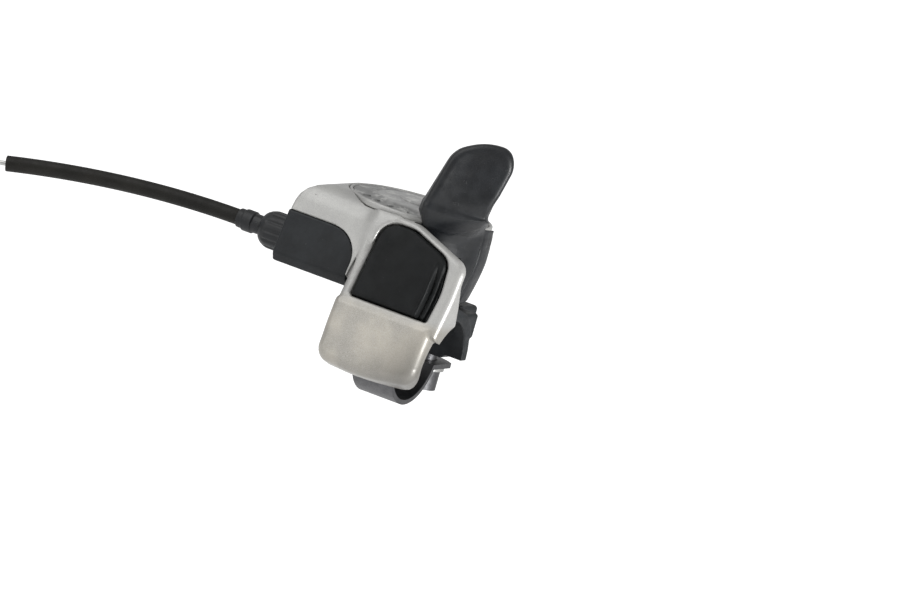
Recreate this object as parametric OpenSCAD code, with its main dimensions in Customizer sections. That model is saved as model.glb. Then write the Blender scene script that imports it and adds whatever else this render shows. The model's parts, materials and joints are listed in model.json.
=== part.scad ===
// Indexed thumb shifter that sits on top of a handlebar.
// Origin: handlebar axis at the middle of the clamp. +X runs along the bar towards the grip,
// -Y points at the rider, +Z is the direction of the lever's pivot. Millimetres.

/* [Handlebar clamp] */
// Handlebar diameter at the clamp
bar_d = 22.2; // [22.0:0.1:22.4]
// Width of the steel clamp band
band_w = 11; // [8:0.5:12]
// Thickness of the steel clamp band
band_t = 1.2; // [1:0.1:1.3]
// Length of the saddle along the bar
saddle_l = 23; // [21:1:23]

/* [Mechanism] */
// Position of the lever's pivot along the bar
pivot_x = -10; // [-10.5:0.1:-9.5]
// Position of the lever's pivot away from the rider
pivot_y = 12.5; // [12.2:0.1:12.8]
// Number of gears that the shifter indexes
speeds = 7; // [3:1:7]
// Lever angle from one gear to the next, in degrees
click_deg = 17.5; // [15:0.5:17.5]
// Cable pulled by one click
pull_per_click = 2.9; // [2.5:0.1:2.9]
// Diameter of the pivot axle
axle_d = 6; // [5.6:0.1:6.2]

/* [Dial] */
// Radius of the round top
dial_r = 18; // [17.6:0.1:18.2]
// Height of the dial's rim above the bar's axis
rim_z = 32.4; // [32.2:0.1:32.8]

/* [Front face] */
// Backward lean of the rider's side face, in degrees
face_lean = 18; // [16:1:19]
// Distance of the face plane in front of the bar's axis
face_v = 15.6; // [15.4:0.1:16]
// Wall thickness of the front cover
cover_t = 1.8; // [1.5:0.1:2]

/* [Thumb lever] */
// Height of the lever's tip above the bar's axis
lever_top = 54.9; // [52:0.1:57]
// Thickness of the paddle at its waist
paddle_t = 7.4; // [6:0.1:8]

/* [Cable] */
// Outer diameter of the cable housing
housing_d = 4; // [4:0.1:4.2]
// Diameter of the inner wire
wire_d = 1.2; // [1.1:0.1:1.2]
// Length of the curved stub of cable housing
stub_l = 62; // [20:1:80]
// Bend radius of the stub
stub_r = 140; // [130:2:600]

/* [Hidden] */
$fn = 96;
gap = 0.05;
hair = 0.02;
far = 60;

// Clamp
clamp_r = bar_d / 2 + gap;
band_r = clamp_r + band_t;
ear_z = -2.8;
ear_y1 = 23.6;
bolt_y = 17.6;
bolt_r = 2.5;
bolt_hole_r = 2.75;
nut_side = 8;
nut_z = [3, 7];
tab_z = 7;
tab_screw_z = 4.9;
tab_screw_r = 1;
tab_head_r = 1.9;

// Heights of the layers stacked on the axle
floor_z = 12.4;
cup_floor_z = 14;
cup_z1 = 23;
drum_z = [cup_floor_z + 0.1, 18.5];
disc_z = [18.6, 20];
spring_z = 20.15;
plate_z = [23.3, 24.6];
hub_z = [24.7, rim_z - 1.6];
hub_deck_z = hub_z[1] - 1.4;
cap_z0 = hub_z[1] + 0.25;
dial_deck_z = rim_z + 0.55;

// Radii around the axle
axle_r = axle_d / 2;
bush_r = axle_r + 1;
boss_side = 9;
cup_r = 15.2;
cup_in_r = 13.6;
skirt_in_r = cup_r + 0.4;
skirt_r = dial_r + 0.8;
hub_r = dial_r - 1.6;
rim_in_r = dial_r - 1.3;
drum_r = pull_per_click / (click_deg * PI / 180);
drum_flange_r = drum_r + 2.1;
disc_r = 11.3;
notch_r = 1.05;
notch_centre_r = disc_r + 0.5;
nose_deg = 215;
pin_deg = 140;
pin_at_r = 12.45;
pin_r = 0.65;
leg_deg = 60;
spring_r = 7.6;
spring_turns = 2.25;

// Lever, seen in the plane that touches the skirt at its leading edge
paddle_o = [7.7, -17.9];
paddle_deg = 28;
skirt_deg = [-62, 25];
skirt_z0 = 13;
neck_r = dial_r + 2.6;
neck_z = [28, 35.5];
neck_top_r = 25.4;
neck_deg = [-62, -12];
dial_clear_z = rim_z + 1.8;

// Cable line
cable_y = pivot_y - drum_r;
cable_z = (drum_z[0] + drum_z[1]) / 2;
housing_r = housing_d / 2;
wire_r = wire_d / 2;
wire_hole_r = wire_r + 0.5;
box_x = [-34.5, -14];
box_z = [11.6, 24.6];
box_y1 = 13;
nipple_deg = -90;
nipple_r = 1.7;
nipple_l = 3.6;
head_x = [-44.8, -35];
head_r = 4.8;
thread_r = 2.5;
ferrule_r = 2.4;
ferrule_x = [-51.6, -38.3];
spring_seat_x = -30.5;
bend_x = -51;
stub_tilt = 66;

// Cover
arm_z = [box_z[1] + gap, rim_z + 0.3];
arm_end_r = 7.6;
bite_r = 7.6;
bite_at = [-21.6, 13.4];
web_v = [-face_v + 0.5, -face_v + 2.2];
shield_v = face_v + 0.5;
cover_screws_at = [[-29.5, -4.6], [-29.5, 9.6]];
rim_deg = [134, 296];
pad_proud = 0.9;
pad_gap = 0.3;

silver = [0.74, 0.74, 0.72];
black = [0.13, 0.14, 0.14];
soft_black = [0.1, 0.1, 0.1];
dial_grey = [0.6, 0.6, 0.6];
steel = [0.68, 0.69, 0.7];
dark_steel = [0.35, 0.36, 0.38];
nylon = [0.82, 0.8, 0.74];
brass = [0.72, 0.58, 0.3];

// ---- geometry helpers

// Unit normal to the left of the line from a to b
function left_of(a, b) = [a.y - b.y, b.x - a.x] / norm(b - a);

// Points of an anticlockwise outline moved inwards by t
function inset(p, t) = [
    for (i = [0 : len(p) - 1])
        let (m = left_of(p[(i + len(p) - 1) % len(p)], p[i]) + left_of(p[i], p[(i + 1) % len(p)]))
        p[i] + 2 * t * m / (m * m)
];

// Outline with corner i rounded to radius r[i]
function rounded(p, r, steps = 6) = [
    for (i = [0 : len(p) - 1])
        each (r[i] == 0 ? [p[i]] : fillet(p[(i + len(p) - 1) % len(p)], p[i],
                                          p[(i + 1) % len(p)], r[i], steps))
];

// Rounded outline moved inwards by t, with its corner radii reduced to match
function shape(p, r, t = 0) = rounded(inset(p, t), [for (x = r) x == 0 ? 0 : max(x - t, 0.2)]);

// Arc of radius r that rounds corner b between a and c
function fillet(a, b, c, r, steps) =
    let (
        u = (a - b) / norm(a - b),
        w = (c - b) / norm(c - b),
        half = acos(u * w) / 2,
        centre = b + (u + w) / norm(u + w) * r / sin(half),
        s = b + u * r / tan(half) - centre,
        e = b + w * r / tan(half) - centre,
        turn = 180 - 2 * half
    )
    [
        for (k = [0 : steps])
            let (f = turn * k / steps) centre + (sin(turn - f) * s + sin(f) * e) / sin(turn)
    ];

// Children placed on the pivot's axis
module on_pivot() {
    translate([pivot_x, pivot_y, 0]) children();
}

// Cylinder around the pivot from z[0] to z[1]
module round_bar(r, z) {
    translate([0, 0, z[0]]) cylinder(r = r, h = z[1] - z[0]);
}

// Square bar around the pivot from z[0] to z[1]
module square_bar(side, z) {
    block([-side / 2, -side / 2, z[0]], [side / 2, side / 2, z[1]]);
}

// Cylinder along X from x[0] to x[1]
module rod_x(r, x) {
    translate([x[0], 0, 0]) rotate([0, 90, 0]) cylinder(r = r, h = x[1] - x[0]);
}

// Part of a ring between two angles
module ring_sector(r, z, deg) {
    rotate([0, 0, deg[0]])
        rotate_extrude(angle = deg[1] - deg[0])
            translate([r[0], z[0]]) square([r[1] - r[0], z[1] - z[0]]);
}

// Outline in (x, height on the face), extruded between two depths of the leaning face
module face_slab(v0, v1) {
    rotate([-face_lean, 0, 0])
        translate([0, v1, 0]) rotate([90, 0, 0]) linear_extrude(v1 - v0) children();
}

// Outline in (along the paddle, z), extruded between two depths behind the paddle's plane
module paddle_slab(d0, d1) {
    translate(paddle_o) rotate([0, 0, paddle_deg])
        translate([0, d1, 0]) rotate([90, 0, 0]) linear_extrude(d1 - d0) children();
}

// Box from its two corners
module block(lo, hi) {
    translate(lo) cube(hi - lo);
}

// Round wire wound into a coil along Z
module coil(r, wire, pitch, turns, sides = 8, per_turn = 24) {
    rings = round(turns * per_turn);
    points = [
        for (i = [0 : rings], j = [0 : sides - 1])
            let (a = 360 * i / per_turn, b = 360 * j / sides, q = r + wire * cos(b))
            [q * cos(a), q * sin(a), pitch * i / per_turn + wire * sin(b)]
    ];
    walls = [
        for (i = [0 : rings - 1], j = [0 : sides - 1])
            let (k = (j + 1) % sides)
            [i * sides + j, i * sides + k, (i + 1) * sides + k, (i + 1) * sides + j]
    ];
    polyhedron(points, concat(
        walls,
        [[for (j = [sides - 1 : -1 : 0]) j]],
        [[for (j = [0 : sides - 1]) rings * sides + j]]
    ), convexity = 6);
}

// ---- outlines of the front face, in (x, height on the face)

function shield_outline(t = 0) = shape(
    [[-13.9, -9.6], [0, -11.4], [13.6, -9.2], [13.9, 5.8], [-14, 5.8]],
    [3.6, 40, 3.6, 1, 1], t
);
function frame_outline(t = 0) = shape(
    [[-13.7, 4], [14.5, 4], [15, 13], [14.7, 22.6], [-1.5, 28.5], [-12.4, 28.5], [-12.9, 22]],
    [0, 0, 30, 3.6, 10, 1, 20], t
);
function window_outline(t = 0) = shape(
    [[-10.7, 6.2], [10.6, 6.2], [11.2, 14], [10, 22.4], [-1.2, 26.6], [-9.7, 26.6]],
    [0.7, 0.7, 20, 4.5, 8, 4.6], t
);

// ---- space kept free for moving or foreign parts

// The bar, with a relief outside the saddle so that only the saddle grips it
module bar_space() {
    rod_x(clamp_r, [-far, far]);
    for (side = [-1, 1])
        translate([side * (saddle_l + far) / 2, 0, 0]) rod_x(clamp_r + 0.4, [-far / 2, far / 2]);
}

// Everything the hub, skirt and neck sweep through
module lever_space() {
    on_pivot() {
        round_bar(rim_in_r, [plate_z[0] - 0.2, far]);
        ring_sector([cup_r + gap, skirt_r + 0.4], [skirt_z0 - 0.3, far], [skirt_deg[0] - 5, 131]);
        ring_sector([cup_r + gap, neck_r + 0.2], [29.4, far], [skirt_deg[0] - 6, 131]);
    }
}

// ---- fixed parts

// Corner of the face over the cable box, left of the frame, with a round bite and grown by t
module arm_web(t = 0) {
    difference() {
        translate([bite_at.x - t, 10.4 - t]) square([9.6 + t, 12.6 + t]);
        translate(bite_at) circle(r = bite_r - t);
        translate([bite_at.x - bite_r, 0]) square([2 * bite_r - t, bite_at.y]);
    }
}

// Arm over the cable box, inset by t, from height z0 up
module arm_solid(t, z0) {
    x1 = pivot_x + 2 + 2 * t;
    side = rounded(
        [[box_x[0] + t, z0], [x1, z0], [x1, arm_z[1] - t], [box_x[0] + t, arm_z[1] - t]],
        [0, 0, 0, arm_end_r - t]
    );
    plan = shape(
        [[box_x[0], -20], [x1, -20], [x1, pivot_y],
         [pivot_x - 12.5, pivot_y + 12.5], [box_x[0], box_y1 - 4]],
        [0, 0, 0, 3, 5], t
    );
    intersection() {
        translate([0, far, 0]) rotate([90, 0, 0]) linear_extrude(2 * far) polygon(side);
        linear_extrude(arm_z[1] + 1) polygon(plan);
        face_slab(web_v[0] + t, far) translate([-far, -far]) square(2 * far);
    }
}

// Rim of the face that folds back along the right side and, below the cable box, the left
module side_walls() {
    side_view = rounded(
        [[-face_v, -11], [-9.2, -9], [-5, 0], [-6, 7.5], [-8.9, 11.2], [-14.4, 19], [-face_v, 24]],
        [0, 3, 4, 3, 3, 2, 0]
    );
    intersection() {
        face_slab(-face_v + 0.2, 0) difference() {
            union() {
                difference() {
                    polygon(frame_outline());
                    polygon(frame_outline(cover_t));
                    translate([-far, 8.4]) square(far);
                }
                difference() {
                    polygon(shield_outline());
                    polygon(shield_outline(cover_t));
                }
            }
            // Open between the walls, towards the saddle
            translate([-11.8, -2]) square([23.6, 9]);
        }
        rotate([-face_lean, 0, 0])
            translate([-30, 0, 0]) rotate([90, 0, 90]) linear_extrude(far) polygon(side_view);
    }
}

module front_cover() {
    color(silver)
    difference() {
        union() {
            face_slab(-face_v, -face_v + 2.2) polygon(frame_outline());
            face_slab(web_v[0], web_v[1]) arm_web();
            face_slab(-shield_v, -face_v + 1.6) polygon(shield_outline());
            side_walls();
            difference() {
                arm_solid(0, arm_z[0]);
                arm_solid(cover_t, arm_z[0] - 1);
            }
            on_pivot() ring_sector([rim_in_r - 0.6, dial_r], [cup_z1, cap_z0 + 0.3], rim_deg);
            for (p = cover_screws_at) translate(p) round_bar(2.8, [arm_z[0], arm_z[1] - 1]);
        }
        face_slab(-30, 0) polygon(window_outline());
        face_slab(-face_v + 2.25, -face_v + 3.45) polygon(window_outline(-1));
        for (p = cover_screws_at) translate(p) round_bar(1.27, [arm_z[0] - 1, arm_z[1] - 2.4]);
        rod_x(clamp_r + 0.4, [-far, far]);
        lever_space();
        on_pivot() round_bar(dial_r + 0.15, [cap_z0 - gap, far]);
    }
}

// Black insert that fills the window, with a flange that holds it behind the frame
module front_pad() {
    color(soft_black) {
        difference() {
            union() {
                face_slab(-face_v - pad_proud, -face_v + 2.3) polygon(window_outline(pad_gap));
                face_slab(-face_v + 2.3, -face_v + 3.4) polygon(window_outline(-0.9));
            }
            // Stepped border along the right and lower edge
            face_slab(-face_v - 2, -face_v + 0.1) difference() {
                polygon(window_outline());
                translate([-2.4, 1.6]) polygon(window_outline(pad_gap));
            }
            lever_space();
        }
    }
}

module base_solid() {
    // Saddle over the bar
    intersection() {
        rod_x(14, [-saddle_l / 2, saddle_l / 2]);
        block([-far, -far, 0.4], [far, far, floor_z]);
    }
    block([-saddle_l / 2, -8, 6], [saddle_l / 2, 14, floor_z]);
    // Cup that holds the mechanism
    on_pivot() round_bar(cup_r, [9, cup_z1]);
    on_pivot() ring_sector([cup_r - 0.2, dial_r], [20, cup_z1 - gap], [rim_deg[0] + 1, 236]);
    // Rear lug for the clamp bolt
    block([-7, 8, -0.6], [7, 24, floor_z]);
    // Block behind the shield and the wall behind the pad
    half = saddle_l / 2;
    face_slab(-face_v + 1.7, -7)
        polygon(rounded([[-half, -4], [half, -4], [half, 4.4], [-half, 4.4]], [2, 2, 1, 1]));
    face_slab(-face_v + 3.5, -face_v + 5.3)
        polygon([[-11, 2], [10.8, 2], [10.8, 16], [1, 19.5], [-11, 21]]);
    cable_box();
}

// Box that carries the barrel adjuster, with its lower front edge chamfered
module cable_box() {
    side = [
        [-7.8, box_z[1]], [-10.4, 14], [-8.4, box_z[0]],
        [box_y1 - 2, box_z[0]], [box_y1, 14], [box_y1, box_z[1]]
    ];
    translate([box_x[0], 0, 0]) rotate([90, 0, 90]) linear_extrude(box_x[1] - box_x[0] + 3) polygon(side);
}

module base_cuts() {
    bar_space();
    lever_space();
    on_pivot() {
        round_bar(cup_in_r, [cup_floor_z, 30]);
        round_bar(axle_r + hair, [0, 30]);
        round_bar(5.55, [cup_floor_z - 1.25, 30]);
        rotate([0, 0, pin_deg]) translate([pin_at_r, 0, 0]) round_bar(pin_r + hair, [11, 30]);
        rotate([0, 0, leg_deg]) block([7, -0.55, spring_z - 0.15], [cup_r - 0.7, 0.55, far]);
    }
    // Adjuster thread, spring seat and wire channel
    translate([0, cable_y, cable_z]) {
        rod_x(3.6, [box_x[0] - 1, spring_seat_x]);
        rod_x(thread_r + gap, [box_x[0] - 1, -22.5]);
        rod_x(wire_hole_r, [-23, pivot_x]);
    }
    // Cover screws, driven from below
    for (p = cover_screws_at) translate(p) {
        round_bar(1.5, [0, 30]);
        round_bar(3, [0, 15]);
    }
    // Hollow of the cable box, open below
    block([-26, -7.4, 0], [-16, cable_y - 4.2, 21.4]);
    // Room for the front cover, its web and the pad's flange
    face_slab(-30, web_v[1] + gap) {
        translate([-13.9, 3.9]) square([50, 32]);
        arm_web(0.1);
    }
    face_slab(-30, -face_v + 1.65) translate([-40, -20]) square([80, 25]);
    face_slab(-30, -face_v + 3.45) polygon(window_outline(-1.1));
    // Groove for the cover's rim
    on_pivot()
        ring_sector([rim_in_r - 0.65, dial_r + gap], [cup_z1 - gap, far], [rim_deg[0] - 1, rim_deg[1] + 1]);
    // Pocket for the band and its tab at the rider's side
    block([-band_w / 2 - 0.2, -40, -20], [band_w / 2 + 0.2, -clamp_r + 0.01, tab_z + 0.2]);
    translate([0, -clamp_r - gap, tab_screw_z]) rotate([-90, 0, 0])
        cylinder(r = tab_screw_r + hair, h = 0.75);
    // Clamp bolt and nut slot
    translate([0, bolt_y, 0]) round_bar(bolt_hole_r, [-10, 10.8]);
    half_nut = nut_side / 2 + 0.1;
    block([-half_nut, bolt_y - half_nut - 0.1, nut_z[0] - gap], [half_nut, far, nut_z[1] + 0.1]);
}

module base_housing() {
    color(black) difference() {
        base_solid();
        base_cuts();
    }
}

module cover_screws() {
    color(dark_steel)
    for (p = cover_screws_at) translate(p) difference() {
        union() {
            round_bar(1.25, [14.9, arm_z[1] - 3]);
            round_bar(2.6, [13.2, 14.95]);
        }
        for (a = [0, 90]) rotate([0, 0, a]) block([-1.6, -0.3, 10], [1.6, 0.3, 14]);
    }
}

// Silver cap with a raised rim, a thin web and a socket for the axle's nut
module top_cap() {
    edge = rounded(
        [[6.2, cap_z0 + 0.3], [dial_r - 2, cap_z0], [dial_r, cap_z0], [dial_r, rim_z + 0.2],
         [dial_r - 0.6, rim_z + 0.35], [dial_r - 0.8, rim_z - 0.3], [6.2, rim_z - 0.3]],
        [0, 0, 0.2, 0.3, 0.1, 0.05, 0]
    );
    color(silver) on_pivot() {
        rotate_extrude() polygon(edge);
        difference() {
            round_bar(6.4, [cap_z0 + 0.3, rim_z + 0.2]);
            round_bar(1.6, [0, far]);
            round_bar(4.9, [0, cap_z0 + 0.75]);
        }
    }
}

// Grey plate: a low track with a mark for each gear, and a raised middle with a shallow crown
module dial_plate() {
    r = dial_r - 0.9;
    track_z = rim_z + 0.15;
    deck = [10.4, rim_z + 0.85];
    crown = [for (k = [8 : -1 : 0]) [deck.x * k / 8, deck.y + 0.15 * (1 - pow(k / 8, 2))]];
    color(dial_grey) on_pivot() {
        difference() {
            rotate_extrude() polygon(concat(
                [[0, rim_z - 0.25], [r, rim_z - 0.25], [r, track_z], [deck.x + 2.4, track_z]], crown
            ));
            round_bar(6.6, [0, rim_z + 0.25]);
            round_bar(1.6, [0, far]);
            round_bar(5.6, [dial_deck_z - gap, far]);
        }
        for (i = [0 : speeds - 1])
            rotate([0, 0, -130 + i * click_deg])
                block([r - 3.2, -0.35, rim_z], [r - 1, 0.35, track_z + 0.35]);
    }
}

module dial_cap() {
    z = dial_deck_z;
    profile = rounded([[0, z], [5.5, z], [5.5, z + 0.9], [0, z + 1.2]], [0, 0, 0.4, 0]);
    color(dial_grey) on_pivot() difference() {
        rotate_extrude() polygon(profile);
        round_bar(3, [0, z + 0.65]);
    }
}

module dial_screw() {
    z = dial_deck_z;
    color(steel) on_pivot() difference() {
        union() {
            round_bar(1.45, [24.6, z]);
            round_bar(2.8, [z - 0.03, z + 0.6]);
        }
        for (a = [0, 90]) rotate([0, 0, a]) block([-1.6, -0.25, z + 0.1], [1.6, 0.25, z + 1]);
    }
}

// Stepped axle, riveted in the floor, with a threaded hole for the dial's screw
module pivot_axle() {
    color(steel) on_pivot() difference() {
        union() {
            round_bar(axle_r, [9.6, cap_z0 + 0.6]);
            round_bar(5.5, [cup_floor_z - 1.2, cup_floor_z]);
        }
        round_bar(1.5, [24, far]);
    }
}

module axle_nut() {
    color(steel) on_pivot() difference() {
        translate([0, 0, hub_deck_z + 0.6]) cylinder(r = 4.6, h = 1.5, $fn = 6);
        round_bar(axle_r + hair, [0, far]);
    }
}

module wave_washer() {
    color(steel) on_pivot() difference() {
        round_bar(5.8, [hub_deck_z + gap, hub_deck_z + 0.55]);
        round_bar(axle_r + 0.06, [0, far]);
    }
}

// Leaf with a rounded nose that rests in a notch of the disc
module detent_spring() {
    z = [disc_z[0] + 0.1, disc_z[1] - 0.1];
    color(steel) on_pivot() {
        rotate([0, 0, pin_deg]) translate([pin_at_r, 0, 0]) difference() {
            round_bar(pin_r + 0.45, z);
            round_bar(pin_r + gap, [0, far]);
        }
        ring_sector([12.4, 12.75], z, [pin_deg + 4.4, nose_deg]);
        rotate([0, 0, nose_deg]) translate([notch_centre_r, 0, 0]) round_bar(notch_r - 0.08, z);
    }
}

module detent_pin() {
    color(steel) on_pivot() rotate([0, 0, pin_deg]) translate([pin_at_r, 0, 0])
        round_bar(pin_r, [11.6, 20.8]);
}

// Return spring around the lever's boss, one leg in the cup and one in the steel plate
module balance_spring() {
    wire = 0.4;
    pitch = 0.95;
    color(dark_steel) on_pivot() rotate([0, 0, leg_deg]) translate([0, 0, spring_z + wire]) {
        coil(spring_r, wire, pitch, spring_turns);
        rod_x(wire, [spring_r, cup_in_r + 0.6]);
        rotate([0, 0, spring_turns * 360]) translate([spring_r, 0, spring_turns * pitch])
            cylinder(r = wire, h = 1.4);
    }
}

// Steel strap under the bar, with a tab in front and a flat ear behind
module clamp_band() {
    color(dark_steel) difference() {
        union() {
            translate([-band_w / 2, 0, 0]) rotate([90, 0, 90]) rotate([0, 0, 180])
                rotate_extrude(angle = 165.5) translate([clamp_r, 0]) square([band_t, band_w]);
            block([-band_w / 2, -band_r, 0], [band_w / 2, -clamp_r, tab_z]);
            intersection() {
                block([-band_w / 2, clamp_r - 0.3, ear_z - band_t], [band_w / 2, ear_y1, ear_z]);
                translate([0, ear_y1 - band_w * 0.62, -10]) union() {
                    cylinder(r = band_w * 0.62, h = 20);
                    block([-20, -20, 0], [20, 0, 20]);
                }
            }
        }
        translate([0, bolt_y, 0]) round_bar(bolt_hole_r, [-20, 5]);
        translate([0, -band_r, tab_screw_z]) rotate([-90, 0, 0]) {
            cylinder(r = tab_screw_r + gap, h = 3);
            translate([0, 0, -gap]) cylinder(r1 = tab_head_r + 2 * gap, r2 = tab_screw_r, h = 1);
        }
    }
}

// Countersunk screw that holds the band's tab, flush with the steel
module band_screw() {
    color(dark_steel) translate([0, -band_r, tab_screw_z]) rotate([-90, 0, 0]) difference() {
        union() {
            cylinder(r = tab_screw_r, h = band_t + 0.55);
            cylinder(r1 = tab_head_r, r2 = tab_screw_r, h = 0.9);
        }
        translate([-2, -0.25, -1]) cube([4, 0.5, 1.4]);
    }
}

module clamp_bolt() {
    z = ear_z - band_t - 1.1;
    color(dark_steel) translate([0, bolt_y, 0]) difference() {
        union() {
            round_bar(bolt_r, [z - 1, 10.4]);
            round_bar(4.25, [z - 5, z]);
        }
        translate([0, 0, z - 6]) cylinder(r = 2.31, h = 3.6, $fn = 6);
    }
}

module clamp_washer() {
    z = ear_z - band_t;
    color(steel) translate([0, bolt_y, 0]) difference() {
        round_bar(5, [z - 1.05, z - gap]);
        round_bar(2.65, [-30, 30]);
    }
}

module clamp_nut() {
    color(steel) translate([0, bolt_y, 0]) difference() {
        block([-nut_side / 2, -nut_side / 2, nut_z[0]], [nut_side / 2, nut_side / 2, nut_z[1]]);
        round_bar(bolt_r + hair, [-30, 30]);
    }
}

// ---- parts that turn with the lever

// Outline of the paddle in (along its plane, z)
paddle_outline = rounded(
    [[8, 19], [18.5, 19], [17, 40.5], [19.6, 51], [17.2, lever_top], [12.5, lever_top + 0.2],
     [4.6, lever_top - 2.6], [0.2, 37], [-0.4, 34.2], [2.2, 31]],
    [0, 0, 9, 3.2, 3.6, 9, 5.5, 1.2, 0.8, 0.6]
);

module paddle() {
    // Side view of the paddle: thick at the waist, thin at the tip
    side = rounded(
        [[-paddle_t / 2, dial_clear_z], [paddle_t * 0.45, dial_clear_z], [paddle_t * 0.45, 44],
         [1.2, lever_top + 0.3], [-1.4, lever_top + 0.3], [-paddle_t * 0.53, 44]],
        [0, 0, 14, 0.9, 0.9, 14]
    );
    intersection() {
        paddle_slab(-20, 20) polygon(paddle_outline);
        translate(paddle_o) rotate([0, 0, paddle_deg]) rotate([90, 0, 90])
            translate([0, 0, -10]) linear_extrude(40) polygon(side);
    }
}

// Neck that flares out from the skirt to the paddle, outside the dial
module neck() {
    intersection() {
        paddle_slab(-paddle_t / 2, 20) polygon(paddle_outline);
        translate([0, 0, neck_z[0]])
            cylinder(r1 = skirt_r - 0.4, r2 = neck_top_r, h = neck_z[1] - neck_z[0]);
        ring_sector([dial_r + 0.3, far], [0, far], neck_deg);
    }
}

module skirt() {
    intersection() {
        union() {
            translate([0, 0, skirt_z0]) cylinder(r1 = skirt_r - 2, r2 = skirt_r, h = 11);
            round_bar(skirt_r, [skirt_z0 + 11, hub_z[1]]);
        }
        ring_sector([skirt_in_r, far], [0, far], skirt_deg);
    }
}

module thumb_lever() {
    color(black) difference() {
        on_pivot() difference() {
            union() {
                round_bar(hub_r, hub_z);
                skirt();
                neck();
                paddle();
                square_bar(boss_side, [cup_floor_z + 0.15, hub_z[0] + 1]);
            }
            round_bar(bush_r + hair, [0, hub_z[1]]);
            round_bar(hub_r - 1.4, [hub_deck_z, hub_z[1] + 1]);
            round_bar(dial_r + 0.25, [hub_z[1], dial_clear_z]);
        }
        // Room for the cover's upper edge and the pad's flange
        face_slab(-40, -face_v + 3.5) translate([-12, 0]) square([40, 28.8]);
    }
}

module lever_plate() {
    color(steel) on_pivot() difference() {
        round_bar(13.2, plate_z);
        square_bar(boss_side + 2 * gap, [0, far]);
        rotate([0, 0, leg_deg + spring_turns * 360]) translate([spring_r, 0, 0]) round_bar(0.5, [0, far]);
    }
}

module hub_bush() {
    color(brass) on_pivot() difference() {
        round_bar(bush_r, [cup_floor_z + 0.15, hub_deck_z]);
        round_bar(axle_r + gap, [0, far]);
    }
}

// Grooved drum that winds the cable
module cable_drum() {
    profile = [
        [0, drum_z[0]], [drum_flange_r, drum_z[0]], [drum_flange_r, drum_z[0] + 0.8],
        [drum_r - wire_r, cable_z - wire_r - gap], [drum_r - wire_r - gap, cable_z],
        [drum_r - wire_r, cable_z + wire_r + gap], [drum_flange_r, drum_z[1] - 0.8],
        [drum_flange_r, drum_z[1]], [0, drum_z[1]]
    ];
    color(nylon) on_pivot() difference() {
        rotate_extrude() polygon(profile);
        square_bar(boss_side + 2 * gap, [0, far]);
        rotate([0, 0, nipple_deg]) translate([drum_r, 0, cable_z]) rotate([-90, 0, 0])
            translate([0, 0, -0.05]) cylinder(r = nipple_r + gap, h = nipple_l + 0.1);
    }
}

module detent_disc() {
    color(steel) on_pivot() difference() {
        round_bar(disc_r, disc_z);
        square_bar(boss_side + 2 * gap, [0, far]);
        for (i = [0 : speeds - 1])
            rotate([0, 0, nose_deg - i * click_deg]) translate([notch_centre_r, 0, 0])
                round_bar(notch_r, [0, far]);
    }
}

module cable_nipple() {
    color(brass) on_pivot() rotate([0, 0, nipple_deg]) translate([drum_r, 0, cable_z]) rotate([-90, 0, 0])
        difference() {
            cylinder(r = nipple_r, h = nipple_l);
            translate([0, 0, -1]) cylinder(r = wire_r + gap, h = nipple_l + 2);
        }
}

// ---- cable and adjuster

// Children on the cable's line, turned so that -Z is the way the stub bends
module on_cable() {
    translate([0, cable_y, cable_z]) rotate([-stub_tilt, 0, 0]) children();
}

// Bent rod from the ferrule outwards
module bent_rod(r, length) {
    translate([bend_x, 0, -stub_r]) rotate([90, 0, 0]) rotate([0, 0, 90])
        rotate_extrude(angle = length / stub_r * 180 / PI, $fn = 360)
            translate([stub_r, 0]) circle(r = r, $fn = 32);
}

// Wire from the cut end of the housing to the nipple in the drum
module inner_cable() {
    color(steel) on_cable() {
        bent_rod(wire_r, stub_l + 3);
        rod_x(wire_r, [bend_x, pivot_x + nipple_l]);
    }
}

module cable_housing() {
    color(soft_black) on_cable() difference() {
        union() {
            bent_rod(housing_r, stub_l);
            rod_x(housing_r, [bend_x, -41]);
        }
        bent_rod(wire_hole_r, stub_l + 1);
        rod_x(wire_hole_r, [bend_x, 0]);
    }
}

// Sleeve on the end of the housing, with two small steps
module housing_ferrule() {
    color(black) translate([0, cable_y, cable_z]) difference() {
        union() {
            rod_x(ferrule_r, ferrule_x);
            rod_x(ferrule_r + 0.35, [ferrule_x[0] + 1.6, head_x[0] - 2.4]);
        }
        rod_x(housing_r + gap, [ferrule_x[0] - 1, -40.9]);
        rod_x(wire_hole_r, [ferrule_x[0], 0]);
    }
}

// Hollow screw with a domed, fluted head
module barrel_adjuster() {
    length = head_x[1] - head_x[0];
    head = rounded([[0, 0], [head_r, 0], [head_r, length], [0, length]], [0, 2.6, 0.5, 0]);
    color(black) translate([0, cable_y, cable_z]) difference() {
        union() {
            translate([head_x[0], 0, 0]) rotate([0, 90, 0]) rotate_extrude() polygon(head);
            rod_x(thread_r, [head_x[1] - 1, -26]);
        }
        rod_x(ferrule_r + gap, [head_x[0] - 1, ferrule_x[1] + 0.1]);
        rod_x(wire_hole_r, [head_x[0], 0]);
        for (a = [0 : 36 : 324])
            rotate([a, 0, 0]) translate([0, 0, head_r + 0.35]) rod_x(0.9, [head_x[0] + 2.8, head_x[1] - 0.8]);
    }
}

module adjuster_spring() {
    wire = 0.3;
    turns = 5;
    length = spring_seat_x - head_x[1] - 2 * wire - 2 * gap;
    color(steel) translate([head_x[1] + wire + gap, cable_y, cable_z]) rotate([0, 90, 0])
        coil(3.05, wire, length / turns, turns);
}

// ---- selection

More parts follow.
